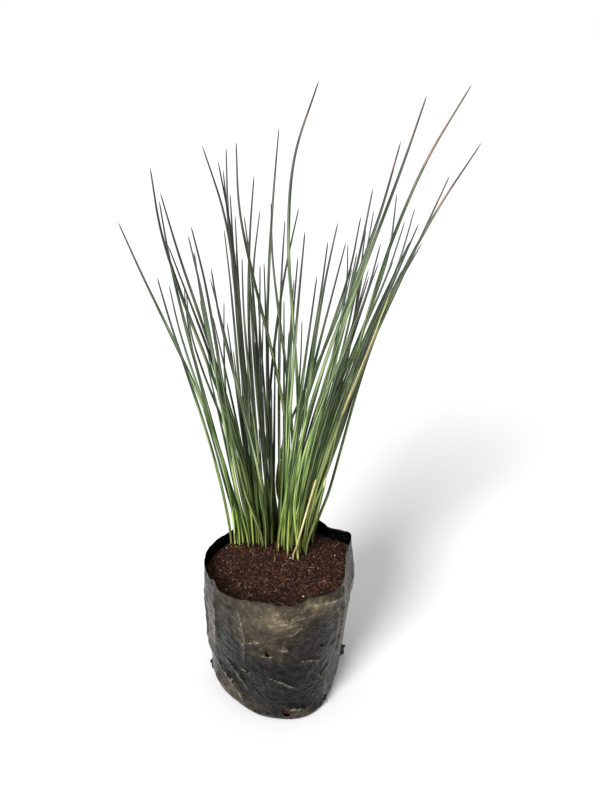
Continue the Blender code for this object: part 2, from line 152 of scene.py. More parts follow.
# Holes in the film: bearing in degrees, height, diameter
Hole = namedtuple("Hole", "bearing height diameter")
HOLES = (
    Hole(-82.0, 12.0 * MM, 9.0 * MM),
    Hole(-42.0, 10.0 * MM, 6.0 * MM),
    Hole(-51.0, 90.0 * MM, 2.6 * MM),
    Hole(-98.0, 89.0 * MM, 4.0 * MM),
)

# Potting mix
SOIL_LEVEL = 136.0 * MM
SOIL_FLOOR = 1.2 * MM
MOUND_HEIGHT = 8.0 * MM
MOUND_CENTRE = Vector((-8.0 * MM, 30.0 * MM))
MOUND_HALF_WIDTH = 42.0 * MM
MOUND_HALF_DEPTH = 32.0 * MM
SOIL_CLEARANCE = 1.4 * MM
SOIL_RINGS = 105
SOIL_COLUMNS = 260
SOIL_WALL_ROWS = 14
CRUMBS = 5200
FOOT_CRUMBS = 7
CHIPS = 34
FIBRES = 130

# The tuft grows in rows, numbered 0 at the front to 7 at the back, that fan apart as they rise.
BACK_ROW = 7.0
FRONT_ROW_LEAN = -0.22
BACK_ROW_LEAN = 0.24
TUFT_LEFT = -50.0 * MM
TUFT_FRONT_RIGHT = 22.0 * MM
TUFT_BACK_RIGHT = 30.0 * MM
TUFT_MIDDLE = -14.0 * MM
TUFT_HALF_WIDTH = 17.0 * MM
FRONT_ROW_Y = 15.0 * MM
FRONT_ROW_SLOPE = 0.36
BACK_ROW_Y = 61.0 * MM
BACK_ROW_CURVE = 3.0
LEAN_LENGTH = 430.0 * MM

# Stems
# Painted shade darkens the feet deep in the tuft, and painted light brightens the stems at its edges
DARK_FOOT = 0.68
DARK_LENGTH = 55.0 * MM
EDGE_LIGHT = 0.38
STEM_SIDES = 20
STEM_RINGS = 46
RIB_DEPTH = 0.07
FOOT_SHARE = 0.74
FOOT_LENGTH = 45.0 * MM
TOP_SHARE = 0.86
TAPER_LENGTH = 110.0 * MM
TIP_SHARE = 0.38
TIP_POINT = 5.0 * MM
SUNK = 6.0 * MM

# Inner stems, which the parts folder has no room for: where the foot shows across the photograph, the row,
# one bend and the tip as pixels across and down, and the width in mm
Inner = namedtuple("Inner", "foot row bend tip width")
INNER = [Inner(*row) for row in (
    (260, 4.2, (240, 405), (233, 349), 2.6), (250, 6.4, (222, 410), (208, 355), 2.6),
    (261, 5.7, (240, 350), (230, 193), 3.1), (257, 6.4, (241, 330), (235, 215), 3),
    (272, 2.6, (260, 370), (260, 264), 2.8), (259, 1.5, (251, 430), (246, 330), 2.9),
    (284, 6.6, (284, 400), (284, 299), 2.8), (305, 6.6, (351, 335), (374, 210), 3),
    (301, 5.6, (350, 345), (366, 228), 2.9), (306, 2.3, (364, 340), (410, 241), 3),
    (299, 7, (352, 340), (376, 269), 2.9), (265, 3, (243, 360), (229, 222), 3),
    (268, 4.9, (246, 380), (236, 250), 3), (266, 1.9, (242, 372), (231, 243), 3),
    (257, 2, (213, 365), (168, 245), 3), (271, 4.2, (256, 380), (247, 235), 2.9),
    (276, 5.4, (268, 380), (264, 262), 2.9), (294, 2.7, (338, 350), (357, 252), 2.9),
    (298, 3.9, (345, 340), (366, 248), 2.9), (252, 3.2, (221, 400), (200, 300), 2.8),
    (274, 3.2, (267, 430), (258, 300), 2.8), (270, 5, (262, 430), (263, 318), 2.8),
    (268, 1.7, (257, 440), (249, 318), 2.8), (277, 5.9, (270, 440), (268, 322), 2.7),
    (273, 4, (264, 450), (255, 342), 2.7), (281, 3.4, (284, 440), (289, 330), 2.7),
    (286, 1.3, (297, 430), (311, 318), 2.8), (296, 3, (341, 340), (362, 262), 2.8),
    (303, 4.9, (350, 340), (379, 262), 2.8), (307, 6.4, (362, 335), (393, 262), 2.8),
    (300, 1.2, (346, 350), (369, 276), 2.8), (293, 4.6, (335, 345), (352, 268), 2.8),
    (309, 5.3, (366, 345), (402, 270), 2.8), (304, 3.7, (357, 360), (391, 283), 2.8),
    (311, 4.6, (347, 415), (380, 312), 2.9), (308, 2.9, (339, 430), (376, 322), 2.9),
    (312, 6.3, (347, 412), (383, 305), 2.9), (304, 1.9, (334, 430), (373, 330), 2.8),
    (286, 3.4, (304, 440), (338, 322), 2.8), (288, 5.2, (309, 432), (342, 334), 2.7),
    (290, 4, (316, 425), (347, 316), 2.8),
)]
# Two green stems that broke off low down and dried at the break
BROKEN = [Inner(*row) for row in (
    (290, 2.2, (296, 505), (299, 471), 2.7),
    (306, 1.2, (317, 515), (326, 478), 2.9),
)]
HIDDEN_STEMS = 15
# The hidden stems fan out from the middle of the feet, in pixels of the photograph
HIDDEN_MIDDLE = 272.0
HIDDEN_FEET_DOWN = 545.0
HIDDEN_BEND_DOWN = 470.0


def linear(code):
    """A colour in linear light from its sRGB hex code."""
    values = [int(code[place:place + 2], 16) / 255.0 for place in (1, 3, 5)]
    return (*[v / 12.92 if v <= 0.04045 else ((v + 0.055) / 1.055) ** 2.4 for v in values], 1.0)


def set_input(node, name, value):
    """Links a socket to an input of a node, or sets any other value on it."""
    if isinstance(value, bpy.types.NodeSocket):
        node.id_data.links.new(value, node.inputs[name])
    else:
        node.inputs[name].default_value = value


def add(tree, kind, inputs=None, stops=None, out=0, **settings):
    """Adds a shader node with its settings and inputs, and gives back one of its outputs."""
    made = tree.nodes.new("ShaderNode" + kind)
    for name, value in settings.items():
        setattr(made, name, value)
    for name, value in (inputs or {}).items():
        set_input(made, name, value)
    if stops:
        elements = made.color_ramp.elements
        while len(elements) < len(stops):
            elements.new(0.5)
        for element, (place, colour) in zip(elements, stops):
            element.position = place
            element.color = linear(colour)
    return made.outputs[out]


def attribute(tree, name, out="Fac"):
    return add(tree, "Attribute", out=out, attribute_name=name)


def cloud(tree, vector, scale, detail, **more):
    """Noise over a vector, more inputs by name."""
    return add(tree, "TexNoise", {"Vector": vector, "Scale": scale, "Detail": detail, **more})


def remap(tree, value, low, high, start, end):
    return add(tree, "MapRange", {"Value": value, 1: low, 2: high, 3: start, 4: end})


def ramp(tree, value, *stops):
    return add(tree, "ValToRGB", {0: value}, stops)


def mix(tree, share, first, second, **settings):
    """Two colours mixed, the second one a socket or an sRGB hex code."""
    colour = linear(second) if isinstance(second, str) else second
    return add(tree, "MixRGB", {0: share, 1: first, 2: colour}, **settings)


def maths(tree, operation, first, second, **settings):
    return add(tree, "Math", {0: first, 1: second}, operation=operation, **settings)


def bump(tree, height, strength, distance, **settings):
    return add(tree, "Bump", {"Strength": strength, "Distance": distance, "Height": height}, **settings)


def new_material(name):
    """A material, its node tree and its Principled shader."""
    material = bpy.data.materials.new(name)
    material.use_nodes = True
    tree = material.node_tree
    return material, tree, tree.nodes["Principled BSDF"]


def dress(shader, colour, roughness, specular=0.5, normal=None):
    """Gives a Principled shader its look."""
    set_input(shader, "Base Color", colour)
    set_input(shader, "Roughness", roughness)
    set_input(shader, "Specular IOR Level", specular)
    if normal is not None:
        set_input(shader, "Normal", normal)


def new_object(name, data):
    made = bpy.data.objects.new(name, data)
    bpy.context.scene.collection.objects.link(made)
    return made


def polar(bearing, reach):
    """Across and along of a place at a bearing in degrees and a distance from the bag's axis."""
    angle = radians(bearing)
    return reach * cos(angle), reach * sin(angle)


def apart(bearings, bearing):
    """How far bearings are from another one, from -180 to 180 degrees."""
    return (bearings - bearing + 180.0) % 360.0 - 180.0


def deselect():
    for item in bpy.context.selected_objects:
        item.select_set(False)


def mesh_piece(name, vertices, faces, material):
    """A shaded-smooth piece from arrays, riding on the part's one body."""
    mesh = bpy.data.meshes.new(name)
    mesh.from_pydata([tuple(v) for v in vertices], [], [tuple(int(i) for i in f) for f in faces])
    mesh.update()
    piece = new_object(name, mesh)
    mesh.polygons.foreach_set("use_smooth", [True] * len(mesh.polygons))
    mesh.materials.append(material)
    finish_piece(piece)
    return piece


def finish_piece(piece):
    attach(piece, "root")


def point_values(piece, name, values, kind="FLOAT"):
    """Writes one value for each vertex, for a material to read."""
    values = np.asarray(values, dtype=np.float32)
    attribute = piece.data.attributes.new(name, kind, "POINT")
    attribute.data.foreach_set("vector" if kind == "FLOAT_VECTOR" else "value", values.ravel())


def soft_step(value):
    value = np.clip(value, 0.0, 1.0)
    return value * value * (3.0 - 2.0 * value)


# Camera, light and floor


def make_camera():
    data = bpy.data.cameras.new("camera")
    data.sensor_width = SENSOR
    data.lens = LENS
    data.clip_start = 0.01
    camera = new_object("camera", data)
    camera.location = EYE
    camera.rotation_euler = (radians(90.0) - EYE_TILT, 0.0, 0.0)
    bpy.context.scene.camera = camera


def make_light():
    data = bpy.data.lights.new("sun", "SUN")
    data.energy = SUN_STRENGTH
    data.angle = SUN_SPREAD
    towards = Vector((
        cos(SUN_HEIGHT) * cos(SUN_BEARING),
        cos(SUN_HEIGHT) * sin(SUN_BEARING),
        sin(SUN_HEIGHT),
    ))
    new_object("sun", data).rotation_euler = towards.to_track_quat("Z", "Y").to_euler()
    world = bpy.data.worlds.new("pale_sky")
    world.use_nodes = True
    tree = world.node_tree
    white = (1.0, 1.0, 1.0, 1.0)
    sky = tree.nodes["Background"]
    set_input(sky, "Color", white)
    set_input(sky, "Strength", SKY_STRENGTH)
    backdrop = add(tree, "Background", {"Color": white})
    seen = add(tree, "LightPath", out="Is Camera Ray")
    mixed = add(tree, "MixShader", {0: seen, 1: sky.outputs[0], 2: backdrop})
    set_input(tree.nodes["World Output"], "Surface", mixed)
    bpy.context.scene.world = world
    bpy.context.scene.view_settings.view_transform = "Standard"


def make_floor():
    deselect()
    bpy.ops.mesh.primitive_plane_add(size=FLOOR_SIZE)
    floor = bpy.context.object
    floor.name = "floor"
    material, _, shader = new_material("white_studio_floor")
    dress(shader, linear("#fafafa"), 0.9, 0.0)
    floor.data.materials.append(material)


# Materials


def crumpled(tree, vector, scale):
    """The ridges of a crumpled sheet, brightest along their crests."""
    return add(tree, "TexNoise", {
        "Vector": vector, "Scale": scale, "Detail": 1.0, "Roughness": 0.5, "Offset": 0.9, "Gain": 2.0,
        "Distortion": 0.4,
    }, noise_type="RIDGED_MULTIFRACTAL")


def ldpe_film():
    """Blown low-density polythene, black: waxy, crumpled, paler along its creases from stress whitening and
    a painted highlight, dirty in patches with a painted sheen among the dirt, and paler towards the top.
    """
    material, tree, shader = new_material("black_ldpe_film")
    place = add(tree, "TexCoord", out="Object")
    dust_and_sheen = attribute(tree, "dust_and_sheen")
    crease_whitening_and_highlight = attribute(tree, "crease_whitening_and_highlight")
    # Smears of dust and painted sheen 30 mm across, blotches of 6 mm and grit of 1 mm in them
    smear = cloud(tree, place, 34.0, 3.0, Distortion=0.8)
    blotch = cloud(tree, place, 170.0, 4.0, Distortion=0.5)
    grit = cloud(tree, place, 800.0, 3.0, Roughness=0.7)
    height = add(tree, "SeparateXYZ", {0: place}, out="Z")
    # More of the pale haze colour from 0.02 m up to 0.14 m: the film is paler towards the top
    total = maths(tree, "ADD", dust_and_sheen, remap(tree, height, 0.02, 0.14, 0.0, 0.26))
    haze_and_sheen = maths(tree, "MULTIPLY", total, remap(tree, smear, 0.34, 0.66, 0.25, 1.1), use_clamp=True)
    dust_and_sheen_grit = maths(tree, "MULTIPLY", haze_and_sheen, remap(tree, blotch, 0.5, 0.66, 0.0, 0.8), use_clamp=True)
    film = ramp(tree, blotch, (0.36, "#040404"), (0.52, "#0c0b09"), (0.66, "#1f1c15"))
    haze_and_sheen_colour = mix(tree, haze_and_sheen, film, "#5c5240")
    earth = ramp(tree, grit, (0.36, "#3c3226"), (0.52, "#75674f"), (0.68, "#b0a286"))
    dust_and_sheen_colour = mix(tree, dust_and_sheen_grit, haze_and_sheen_colour, earth)
    turned = add(tree, "Mapping", {"Vector": place, "Rotation": (0.6, 0.3, 0.9), "Scale": (1.0, 1.0, 1.5)})
    large = crumpled(tree, place, 62.0)
    small = crumpled(tree, turned, 210.0)
    crest = remap(tree, large, 1.5, 2.1, 0.0, 0.25)
    hair = remap(tree, small, 1.6, 2.1, 0.0, 0.45)
    worn = maths(tree, "ADD", dust_and_sheen, 1.0, use_clamp=True)
    lines = maths(tree, "MULTIPLY", maths(tree, "MAXIMUM", crest, hair), worn)
    scuffed = mix(tree, lines, dust_and_sheen_colour, "#7f7a6c")
    # Stress whitening along the fold crests, which also paints a highlight on them
    whitened_and_highlighted = maths(tree, "MULTIPLY", crease_whitening_and_highlight, remap(tree, blotch, 0.4, 0.58, 0.1, 0.7))
    outside = mix(tree, whitened_and_highlighted, scuffed, "#a39a86")
    # The inside of the film stays clean and black: its faces look towards the bag's axis
    facing = add(tree, "NewGeometry", out="True Normal")
    level = add(tree, "VectorMath", {0: place, 1: (1.0, 1.0, 0.0)}, operation="MULTIPLY")
    outward = add(tree, "VectorMath", {0: facing, 1: level}, out="Value", operation="DOT_PRODUCT")
    colour = mix(tree, maths(tree, "LESS_THAN", outward, 0.0), outside, "#060607")
    # Crumples of 15 mm and 5 mm, drawn steeper than the real ones so that they show
    normal = bump(tree, large, 0.9, 0.0016)
    for height, strength, distance in ((small, 0.8, 0.0006), (grit, 0.5, 0.0003)):
        upper = bump(tree, height, strength, distance)
        set_input(upper.node, "Normal", normal)
        normal = upper
    dress(shader, colour, remap(tree, dust_and_sheen_grit, 0.0, 0.6, 0.22, 0.6), 0.15, normal)
    return material


def potting_mix():
    """Moist peat and coir: dark red-brown, matt, in grains of about 1 mm with darker gaps."""
    material, tree, shader = new_material("peat_and_coir_mix")
    place = add(tree, "TexCoord", out="Object")
    clump = cloud(tree, place, 160.0, 4.0, Roughness=0.7)
    gap = add(tree, "TexVoronoi", {"Vector": place, "Scale": 750.0, "Randomness": 1.0}, out="Distance")
    speck = add(tree, "SeparateColor", {0: gap.node.outputs["Color"]})
    tone = ramp(tree, speck, (0.0, "#170d0a"), (0.4, "#2d1811"), (0.75, "#432719"), (0.93, "#5e3c2a"),
                (1.0, "#8a6a52"))
    shade = remap(tree, clump, 0.3, 0.7, 0.45, 1.15)
    colour = mix(tree, 1.0, tone, shade, blend_type="MULTIPLY")
    normal = bump(tree, gap, 0.8, 0.0007, invert=True)
    set_input(normal.node, "Normal", bump(tree, clump, 0.9, 0.0012))
    dress(shader, colour, 0.93, 0.25, normal)
    return material


def loose_grain(name, stops, roughness):
    """Loose bits on the mix, each in its own tone."""
    material, tree, shader = new_material(name)
    place = add(tree, "TexCoord", out="Object")
    fleck = cloud(tree, place, 1400.0, 2.0)
    shift = add(tree, "Math", {0: fleck, 1: 0.3, 2: -0.15}, operation="MULTIPLY_ADD")
    colour = ramp(tree, maths(tree, "ADD", attribute(tree, "tone"), shift), *stops)
    dress(shader, colour, roughness, 0.25, bump(tree, fleck, 0.5, 0.0003))
    return material


def rush_stem():
    """Living hard rush: waxy and finely ribbed, yellow-green at the foot and grey-green at the tip."""
    material, tree, shader = new_material("living_rush_stem")
    along = attribute(tree, "along")
    fresh = ramp(tree, along, (0.0, "#7c8f3c"), (0.05, "#5f8229"), (0.2, "#507228"), (0.45, "#436627"),
                 (0.75, "#2f4423"), (0.93, "#2c302b"))
    # A greyer, darker green that partly paints shade, for stems in the middle and deep in the tuft
    greyer_and_shaded = ramp(tree, along, (0.0, "#3f4b28"), (0.06, "#374b27"), (0.2, "#384f2e"), (0.45, "#34462f"),
                  (0.75, "#2a332a"), (0.93, "#272a28"))
    green = mix(tree, attribute(tree, "tone"), greyer_and_shaded, fresh)
    # Ribs, drawn about 1 mm apart so that they show, twice as coarse as the real ones, with a painted
    # highlight on the ridges and painted shade in the grooves
    streak = cloud(tree, attribute(tree, "fibre", "Vector"), 1.0, 1.0, Roughness=0.5)
    light = ramp(tree, along, (0.0, "#d6dc80"), (0.15, "#b9c873"), (0.5, "#9dab7a"), (0.9, "#565c54"))
    ribbed = mix(tree, remap(tree, streak, 0.51, 0.6, 0.0, 0.75), green, light)
    groove_shaded = mix(tree, remap(tree, streak, 0.49, 0.42, 0.0, 0.85), ribbed, "#101c0e")
    # Painted shade and light: the shade value darkens stems deep in the tuft and lightens those at its edges
    living = mix(tree, 1.0, groove_shaded, attribute(tree, "shade"), blend_type="MULTIPLY")
    brown = ramp(tree, streak, (0.35, "#5f4a40"), (0.55, "#96705c"), (0.7, "#c79c7c"))
    dying = mix(tree, attribute(tree, "withered"), living, brown)
    colour = mix(tree, remap(tree, along, 0.975, 0.998, 0.0, 0.6), dying, "#3e3b38")
    dress(shader, colour, 0.42, 0.4, bump(tree, streak, 0.25, 0.0002))
    return material


def dry_rush():
    """Dead hard rush: matt, straw-coloured or rusty where it is quite dead, olive where it is dying."""
    material, tree, shader = new_material("dead_rush_stem")
    streak = cloud(tree, attribute(tree, "fibre", "Vector"), 1.0, 3.0, Roughness=0.6)
    straw = ramp(tree, streak, (0.34, "#6b5a22"), (0.45, "#c9b560"), (0.56, "#f4ecb8"))
    rusty = ramp(tree, streak, (0.34, "#4c2f1f"), (0.5, "#8f6446"), (0.66, "#cfae92"))
    body = mix(tree, attribute(tree, "tone"), straw, rusty)
    olive = ramp(tree, streak, (0.36, "#25310f"), (0.5, "#5d6c2e"), (0.64, "#b3b878"))
    colour = mix(tree, attribute(tree, "withered"), olive, body)
    dress(shader, colour, 0.62, normal=bump(tree, streak, 0.4, 0.0003))
    return material


def root_skin():
    """A wiry root: brown, matt, with paler rings where the skin has dried."""
    material, tree, shader = new_material("wiry_root")
    ring = cloud(tree, add(tree, "TexCoord", out="Object"), 900.0, 2.0)
    colour = ramp(tree, ring, (0.35, "#2b2119"), (0.6, "#5d4a38"))
    dress(shader, colour, 0.8, normal=bump(tree, ring, 0.5, 0.0002))
    return material


# The film's own shape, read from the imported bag


def read_film():
    """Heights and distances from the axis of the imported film's outside corners, bearing by bearing."""
    points = np.array([v.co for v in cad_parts["grow_bag"].data.vertices])
    reach = np.hypot(points[:, 0], points[:, 1])
    turn = np.degrees(np.arctan2(points[:, 1], points[:, 0])) % 360.0 / 360.0 * BAG_SIDES
    columns = []
    for side in range(BAG_SIDES):
        away = np.abs((turn - side + BAG_SIDES / 2.0) % BAG_SIDES - BAG_SIDES / 2.0)
        near = np.where((away < 0.02) & (reach > 40.0 * MM))[0]
        near = near[np.argsort(points[near, 2])]
        corners = []
        for index in near:
            height = points[index, 2]
            if corners and height - corners[-1][0] < 1.2 * MM:
                if reach[index] > corners[-1][1]:
                    corners[-1] = (height, reach[index])
            else:
                corners.append((height, reach[index]))
        columns.append(np.array(corners))
    return columns


def smooth_around(values, places):
    """Values on evenly spaced bearings, read smoothly at places between them."""
    first = np.floor(places).astype(int)
    share = places - first
    before, start, end, after = (values[(first + step) % len(values)] for step in (-1, 0, 1, 2))
    return 0.5 * (2.0 * start + (end - before) * share
                  + (2.0 * before - 5.0 * start + 4.0 * end - after) * share ** 2
                  + (3.0 * start - before - 3.0 * end + after) * share ** 3)


def read_ring(share):
    """Distances from the axis at one share of the rim's height, without the flaps of the bottom seal."""
    reach = np.array([np.interp(share * c[-1, 0], c[:, 0], c[:, 1]) for c in FILM_CORNERS])
    if share * RIM.mean() < EAR_HEIGHT:
        for ear in EARS:
            low = int(ear.bearing / 360.0 * BAG_SIDES)
            before, after = reach[low - 1], reach[low + 2]
            reach[low] = before + (after - before) / 3.0
            reach[low + 1] = before + (after - before) * 2.0 / 3.0
    return smooth_around(reach, FILM_PLACES)


FILM_CORNERS = read_film()
FILM_BEARINGS = np.arange(FILM_COLUMNS) * 360.0 / FILM_COLUMNS
FILM_PLACES = FILM_BEARINGS / 360.0 * BAG_SIDES
RIM = smooth_around(np.array([corners[-1, 0] for corners in FILM_CORNERS]), FILM_PLACES)
FILM_SHARES = np.linspace(0.0, 1.0, FILM_ROWS)
FILM_HEIGHTS = FILM_SHARES[:, None] * RIM[None, :]
FILM_REACH = np.array([read_ring(share) for share in FILM_SHARES])


def film_reach(bearing, height):
    """Distance from the axis to the smooth film at one bearing and height."""
    column = (bearing % 360.0) / 360.0 * FILM_COLUMNS
    first = int(column) % FILM_COLUMNS
    second = (first + 1) % FILM_COLUMNS
    share = column - int(column)
    near = [np.interp(height, FILM_HEIGHTS[:, c], FILM_REACH[:, c]) for c in (first, second)]
    return near[0] * (1.0 - share) + near[1] * share


def facets(point, size, sharpness):
    """Height of a sheet crumpled into flat facets of about one size."""
    spot = point / size
    distances, centres = noise.voronoi(spot)
    half = Vector((0.5, 0.5, 0.5))
    tilts = [(spot - centre).dot(noise.cell_vector(centre * 3.7) - half) for centre in centres[:2]]
    edge = min(1.0, (distances[1] - distances[0]) / sharpness)
    blend = edge * edge * (3.0 - 2.0 * edge)
    return tilts[0] * (0.5 + 0.5 * blend) + tilts[1] * (0.5 - 0.5 * blend)


def fold_rise(bearings, heights):
    """Rise of the named folds over the film, and how sharply it creases, in metres and 0 to 1, the second
    for the whitening and painted highlight along the folds.
    """
    rise = np.zeros(heights.shape)
    crease_whitening_and_highlight = np.zeros(heights.shape)
    for fold in FOLDS:
        turn = apart(fold.to_bearing, fold.bearing)
        across = np.radians(apart(bearings, fold.bearing)) * BAG_RADIUS
        up = heights / MM - fold.height
        run = np.array((radians(turn) * BAG_RADIUS, fold.to_height - fold.height))
        length = np.linalg.norm(run)
        run = run / length
        along = (across * run[0] + up * run[1]) / length
        bow = 0.06 * length * np.sin(np.clip(along, 0.0, 1.0) * pi)
        off = -across * run[1] + up * run[0] - bow
        fade = soft_step(along / 0.3 + 0.2) * soft_step((1.0 - along) / 0.3 + 0.2)
        share = off / fold.half_width
        # Steep on one side and gentle on the other, with a shallow dip beside the steep one
        crest = np.where(share > 0.0, np.exp(-share * share), np.exp(-share * share * 0.25))
        profile = crest - 0.35 * np.exp(-((share - 2.2) ** 2))
        rise += profile * fade * fold.rise * FOLD_HEIGHT
        crease_whitening_and_highlight = np.maximum(crease_whitening_and_highlight, np.exp(-share * share * 14.0) * fade)
    return rise, crease_whitening_and_highlight


def amount_over(places, bearings, heights):
    """The sum of soft-edged places over the film."""
    total = np.zeros(heights.shape)
    for place in places:
        across = np.radians(apart(bearings, place.bearing)) * BAG_RADIUS
        up = heights / MM - place.height
        total += place.amount * np.exp(-((across / place.around) ** 2) - (up / place.up) ** 2)
    return total


def make_bag(material):
    """The crumpled film: walls from the rim down, turned in to a flat underside, with its holes."""
    bearings = np.broadcast_to(FILM_BEARINGS[None, :], FILM_HEIGHTS.shape)
    rise, crease_whitening_and_highlight = fold_rise(bearings, FILM_HEIGHTS)
    reach = FILM_REACH.copy()
    for row in range(FILM_ROWS):
        for column in range(FILM_COLUMNS):
            spot = Vector((*polar(FILM_BEARINGS[column], reach[row, column]), FILM_HEIGHTS[row, column]))
            slanted = Vector((spot.x, spot.y, spot.z * 0.75 + 0.25 * spot.x))
            bent = slanted + noise.noise_vector(slanted / 0.02) * 4.0 * MM
            big = facets(bent, FACET_SIZE, 0.25)
            small = facets(bent + Vector((0.3, 0.1, 0.7)), CRINKLE_SIZE, 0.4)
            lump = noise.noise(spot / LUMP_SIZE)
            rise[row, column] += big * FACET_DEPTH + small * CRINKLE_DEPTH + lump * LUMP_DEPTH
    foot = soft_step(FILM_HEIGHTS / FILM_TURN)
    reach += rise * (0.25 + 0.75 * foot) + (0.4 + amount_over(BULGES, bearings, FILM_HEIGHTS)) * MM
    flap = np.zeros(reach.shape)
    tears = [noise.noise(Vector((h / (3.0 * MM), 4.7, 0.0))) for h in FILM_HEIGHTS[:, 0]]
    ragged = np.array(tears)[:, None]
    for ear in EARS:
        away = np.abs(apart(bearings, ear.bearing))
        tall = np.clip((EAR_HEIGHT - FILM_HEIGHTS) / (EAR_HEIGHT - EAR_FULL_HEIGHT), 0.0, 1.0)
        shape = np.exp(-((away / EAR_HALF_WIDTH) ** 1.3)) * tall
        reach += ear.reach * shape * (1.0 + 0.35 * ragged)
        flap = np.maximum(flap, shape)
    wave = np.array([
        noise.noise(Vector((b / 9.0, 3.3, 0.0))) * 0.9 + noise.noise(Vector((b / 3.0, 8.1, 0.0))) * 0.35
        for b in FILM_BEARINGS
    ]) * MM
    for peak in PEAKS:
        wave += peak.rise * MM * np.exp(-((apart(FILM_BEARINGS, peak.bearing) / peak.half_width) ** 2))
    heights = FILM_HEIGHTS + wave[None, :] * (FILM_SHARES[:, None] ** 12)
    angles = np.radians(bearings)
    wall = np.stack((reach * np.cos(angles), reach * np.sin(angles), heights), axis=2).reshape(-1, 3)
    rows = [wall]
    for ring in range(1, UNDERSIDE_RINGS):
        share = 1.0 - ring / UNDERSIDE_RINGS
        rows.append(wall[:FILM_COLUMNS] * (share, share, 0.0))
    vertices = np.concatenate([*rows, [(0.0, 0.0, 0.0)]])
    column = np.arange(FILM_COLUMNS)
    after = (column + 1) % FILM_COLUMNS
    faces = []
    for row in range(FILM_ROWS - 1):
        low = row * FILM_COLUMNS
        high = low + FILM_COLUMNS
        faces.append(np.stack((low + column, low + after, high + after, high + column), axis=1))
    outer = 0
    for ring in range(1, UNDERSIDE_RINGS):
        inner = (FILM_ROWS + ring - 1) * FILM_COLUMNS
        faces.append(np.stack((outer + column, inner + column, inner + after, outer + after), axis=1))
        outer = inner
    quads = np.concatenate(faces)
    centre = len(vertices) - 1
    fan = np.stack((outer + column, np.full(FILM_COLUMNS, centre), outer + after), axis=1)
    kept, vertices = cut_holes(vertices, quads)
    bag = mesh_piece("film_bag", vertices, [*kept, *fan], material)
    count = len(vertices)
    dust_and_sheen = np.zeros(count)
    # Painted shade on the doubled flaps of the bottom seal: they are drawn clean, without haze and pale
    # lines, so they look darker
    dust_and_sheen[:wall.shape[0]] = (amount_over(DUST_AND_SHEEN, bearings, FILM_HEIGHTS) - 2.0 * flap).ravel()
    # Stress whitening and painted highlight along the fold crests
    white = np.zeros(count)
    white[:wall.shape[0]] = crease_whitening_and_highlight.ravel()
    point_values(bag, "dust_and_sheen", dust_and_sheen)
    point_values(bag, "crease_whitening_and_highlight", white)
    loose = bmesh.new()
    loose.from_mesh(bag.data)
    bmesh.ops.delete(loose, geom=[v for v in loose.verts if not v.link_faces], context="VERTS")
    loose.to_mesh(bag.data)
    loose.free()
    shell = bag.modifiers.new("film", "SOLIDIFY")
    shell.thickness = FILM
    shell.offset = -1.0
    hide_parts("grow_bag")


def cut_holes(vertices, quads):
    """Leaves out the faces in each hole and pulls the ones around it onto a ragged outline."""
    gone = np.zeros(len(vertices), bool)
    for hole in HOLES:
        angle = radians(hole.bearing)
        radius = film_reach(hole.bearing, hole.height)
        centre = np.array((radius * cos(angle), radius * sin(angle), hole.height))
        sideways = np.array((-sin(angle), cos(angle), 0.0))
        away = vertices - centre
        across = away @ sideways
        up = away[:, 2]
        depth = np.abs(away @ np.array((cos(angle), sin(angle), 0.0)))
        near = (depth < 12.0 * MM) & (vertices[:, 2] > 0.5 * MM)
        turn = np.arctan2(up, across)
        ragged = 1.0 + 0.14 * np.sin(3.0 * turn + hole.bearing) + 0.08 * np.sin(7.0 * turn)
        edge = hole.diameter / 2.0 * ragged
        distance = np.hypot(across, up)
        inside = near & (distance < edge * 0.8)
        band = near & ~inside & (distance < edge + 0.5 * MM)
        gone |= inside
        scale = edge[band] / distance[band]
        vertices[band] += ((scale - 1.0) * across[band])[:, None] * sideways
        vertices[band, 2] += (scale - 1.0) * up[band]
    return quads[~gone[quads].any(axis=1)], vertices


# Potting mix


def soil_height(x, y):
    across = (x - MOUND_CENTRE.x) / MOUND_HALF_WIDTH
    along = (y - MOUND_CENTRE.y) / MOUND_HALF_DEPTH
    return SOIL_LEVEL + MOUND_HEIGHT * exp(-(across * across + along * along))


def soil_surface(x, y):
    """The top of the mix with its clods and hollows."""
    spot = Vector((x, y, 0.0))
    clod = noise.fractal(spot / 0.013, 0.9, 2.1, 4) * 1.5 * MM
    grain = noise.fractal(spot / 0.0028 + Vector((5.0, 2.0, 1.0)), 0.8, 2.0, 2) * 0.75 * MM
    return soil_height(x, y) + clod + grain


